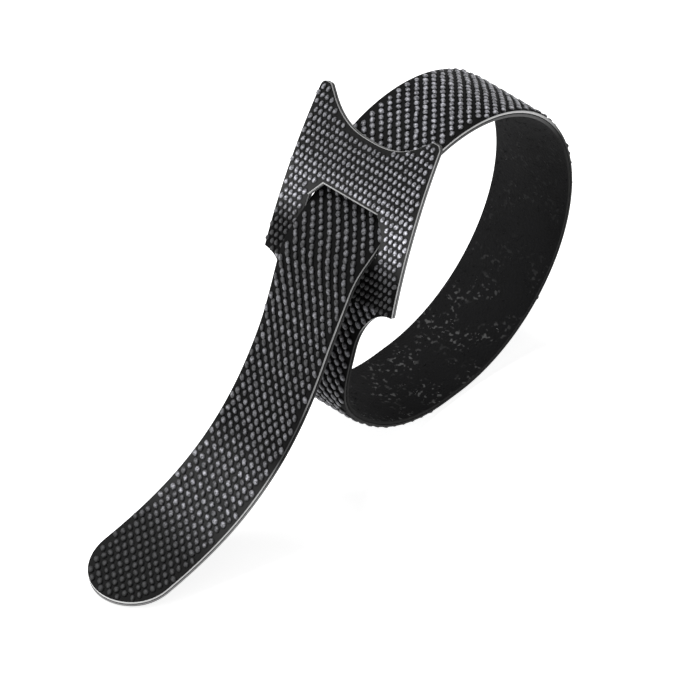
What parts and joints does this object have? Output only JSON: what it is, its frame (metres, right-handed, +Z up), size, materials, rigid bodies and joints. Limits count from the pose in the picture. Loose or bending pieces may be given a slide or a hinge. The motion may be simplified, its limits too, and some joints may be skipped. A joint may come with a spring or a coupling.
{
  "type": "hook and loop cable tie",
  "caption": "Reusable hook and loop tie closed into a loop, its round-ended tail passed through the slot of a forked head and trailing on the table.",
  "frame": {"origin": "bottom centre of the whole tie's box, on the surface that the loop and the tail's tip rest on", "axes": "+Z up; +Y from the tail's tip towards the loop, in the plane that the loop is bent in; +X along the loop's axis, across the tape"},
  "size_m": [0.021, 0.0796, 0.0481],
  "materials": {
    "black_nylon_tape": "matte"
  },
  "bodies": {
    "root": {"hook_loop_tie": "black_nylon_tape"}
  },
  "joints": []
}
